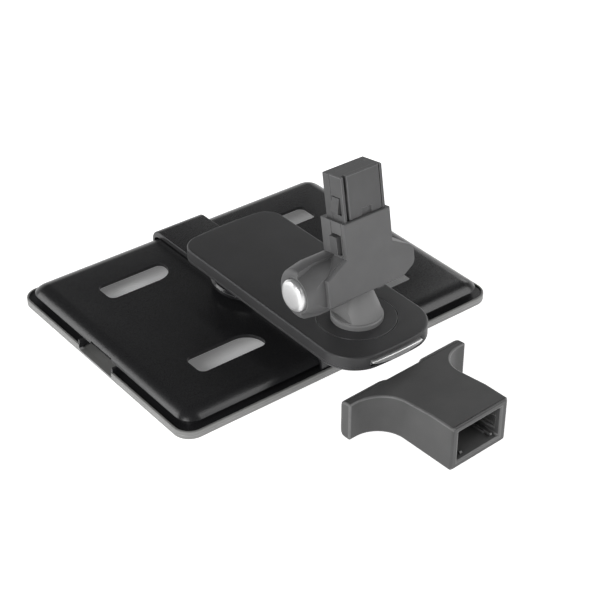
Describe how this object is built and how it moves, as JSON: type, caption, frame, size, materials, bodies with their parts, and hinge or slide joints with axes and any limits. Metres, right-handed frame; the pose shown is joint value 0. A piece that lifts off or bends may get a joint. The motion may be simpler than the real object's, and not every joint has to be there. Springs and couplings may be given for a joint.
{
  "type": "headrest tablet mount",
  "caption": "Tablet tray on a swivelling arm with a tilting hub and latching plug, and the loose adapter that holds it between headrest posts.",
  "frame": {"origin": "middle of the tablet tray, at the level of its screen side, which lies on the floor", "axes": "+X along the tray's long side, +Y along its short side away from the arm's hub, +Z out of the tray's back"},
  "size_m": [0.25, 0.3091, 0.1465],
  "materials": {
    "shell_black": "satin moulded plastic",
    "rim_black": "satin moulded plastic",
    "base_gloss": "polished plastic",
    "arm_charcoal": "fine matte moulded plastic",
    "neck_grey": "fine matte moulded plastic",
    "hub_charcoal": "fine matte moulded plastic",
    "plug_charcoal": "matte moulded plastic",
    "adapter_charcoal": "fine matte moulded plastic",
    "silver": "satin silver coating",
    "screw_steel": "zinc plated",
    "spring_steel": "drawn wire",
    "washer_white": "plain nylon"
  },
  "bodies": {
    "tray": {"tray_shell": "shell_black", "tray_bezel": "rim_black", "back_strap": "shell_black", "tray_screws": "screw_steel", "swivel_base": "base_gloss", "headrest_adapter": "adapter_charcoal"},
    "arm": {"swivel_washer": "washer_white", "swivel_pin": "screw_steel", "swivel_nut": "screw_steel", "arm_cover": "arm_charcoal", "arm_base": "arm_charcoal", "arm_screws": "screw_steel", "tab_springs": "spring_steel", "turntable_washer": "washer_white"},
    "release_tab": {"release_tab": "silver"},
    "turntable": {"turntable_disc": "arm_charcoal", "turntable_retainer": "screw_steel", "turntable_screws": "screw_steel", "neck": "neck_grey"},
    "hub": {"hub_cover": "hub_charcoal", "hub_housing": "hub_charcoal", "hub_screws": "screw_steel", "tilt_spindle": "screw_steel", "friction_washers": "washer_white", "hub_back": "hub_charcoal", "button_spring": "spring_steel", "plug_back": "plug_charcoal", "plug_core": "plug_charcoal", "plug_plate": "plug_charcoal", "latch_pins": "screw_steel", "latch_spring_left": "spring_steel", "latch_spring_right": "spring_steel"},
    "tilt_button": {"tilt_button": "silver"},
    "latch_left": {"latch_left": "plug_charcoal"},
    "latch_right": {"latch_right": "plug_charcoal"}
  },
  "joints": [
    {"name": "tray_swivel", "type": "hinge", "parent": "tray", "child": "arm", "pos_m": [0, 0, 0.0225], "axis": [0, 0, 1], "range_deg": [-90, 90]},
    {"name": "neck_turn", "type": "hinge", "parent": "arm", "child": "turntable", "pos_m": [0, -0.105, 0.044], "axis": [0, 0, 1], "range_deg": [-90, 90]},
    {"name": "hub_tilt", "type": "hinge", "parent": "turntable", "child": "hub", "pos_m": [0, -0.1025, 0.0775], "axis": [1, 0, 0], "range_deg": [-30, 15]},
    {"name": "button_press", "type": "slide", "parent": "hub", "child": "tilt_button", "axis": [1, 0, 0], "range_m": [0, 0.0025], "stiffness_N_per_m": 1500, "deforming": ["button_spring"]},
    {"name": "left_latch_squeeze", "type": "hinge", "parent": "hub", "child": "latch_left", "pos_m": [-0.0105, -0.107, 0.09553], "axis": [0, 0.9854, -0.1702], "range_deg": [0, 4], "stiffness_Nm_per_rad": 0.6, "deforming": ["latch_spring_left"]},
    {"name": "right_latch_squeeze", "type": "hinge", "parent": "hub", "child": "latch_right", "pos_m": [0.0105, -0.107, 0.09553], "axis": [0, -0.9854, 0.1702], "range_deg": [0, 4], "stiffness_Nm_per_rad": 0.6, "deforming": ["latch_spring_right"]},
    {"name": "tab_press", "type": "slide", "parent": "arm", "child": "release_tab", "axis": [0, 1, 0], "range_m": [0, 0.003], "stiffness_N_per_m": 1200, "deforming": ["tab_springs"]}
  ]
}
